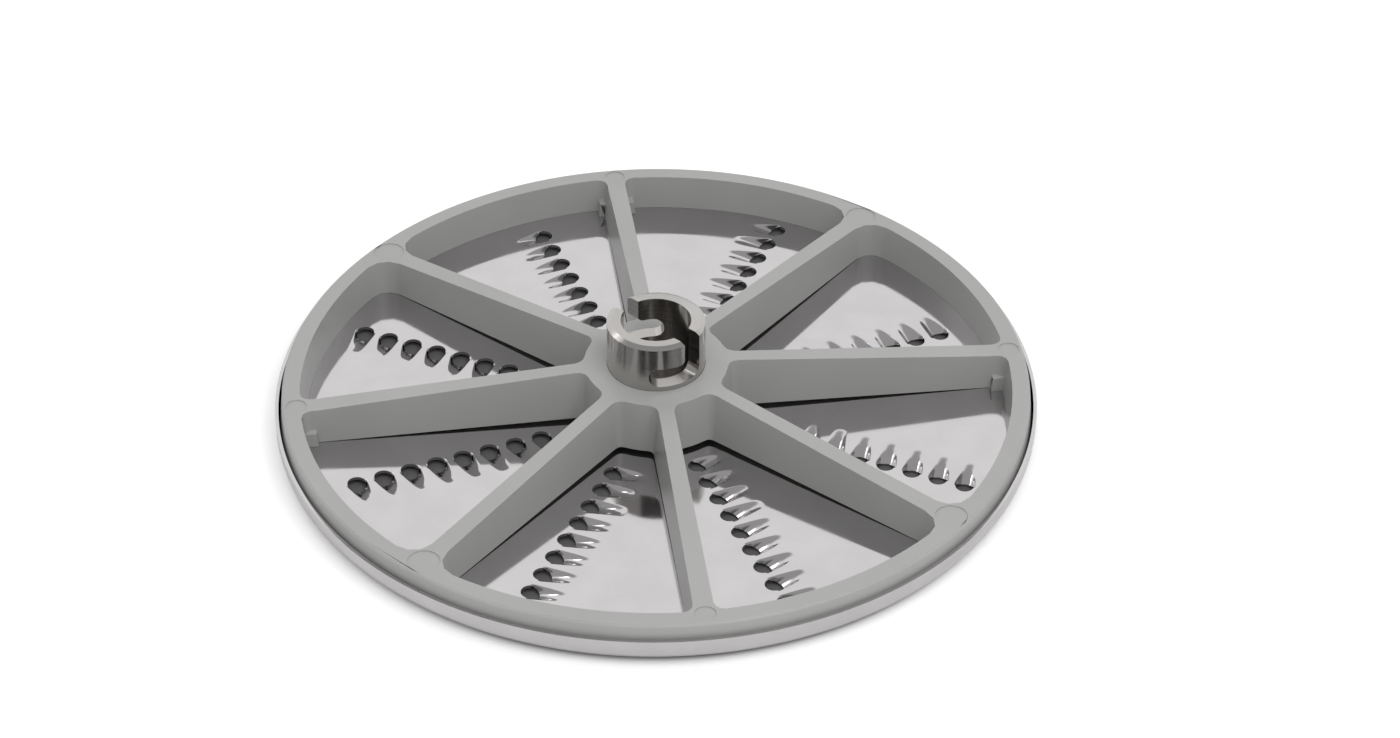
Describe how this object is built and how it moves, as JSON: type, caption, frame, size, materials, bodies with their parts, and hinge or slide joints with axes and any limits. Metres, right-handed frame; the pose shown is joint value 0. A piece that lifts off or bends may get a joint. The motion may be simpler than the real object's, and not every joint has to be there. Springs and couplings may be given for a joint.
{
  "type": "food processor grating disc",
  "caption": "Round grating disc for a vegetable cutter: steel pan with rows of pressed scoop teeth under a spoked plastic frame, and a turned hub with bayonet slots.",
  "frame": {"origin": "centre of the disc's base, where the tips of the grating teeth touch the table", "axes": "+Z along the drive axis towards the hub's open end, +X along a spoke with a moulded pad"},
  "size_m": [0.185, 0.185, 0.0287],
  "materials": {
    "frame_plastic": "satin grey moulded plastic",
    "plate_steel": "bright rolled stainless steel",
    "hub_steel": "fine turned stainless steel"
  },
  "bodies": {
    "root": {"support_frame": "frame_plastic", "grating_plate": "plate_steel", "drive_hub": "hub_steel"}
  },
  "joints": []
}
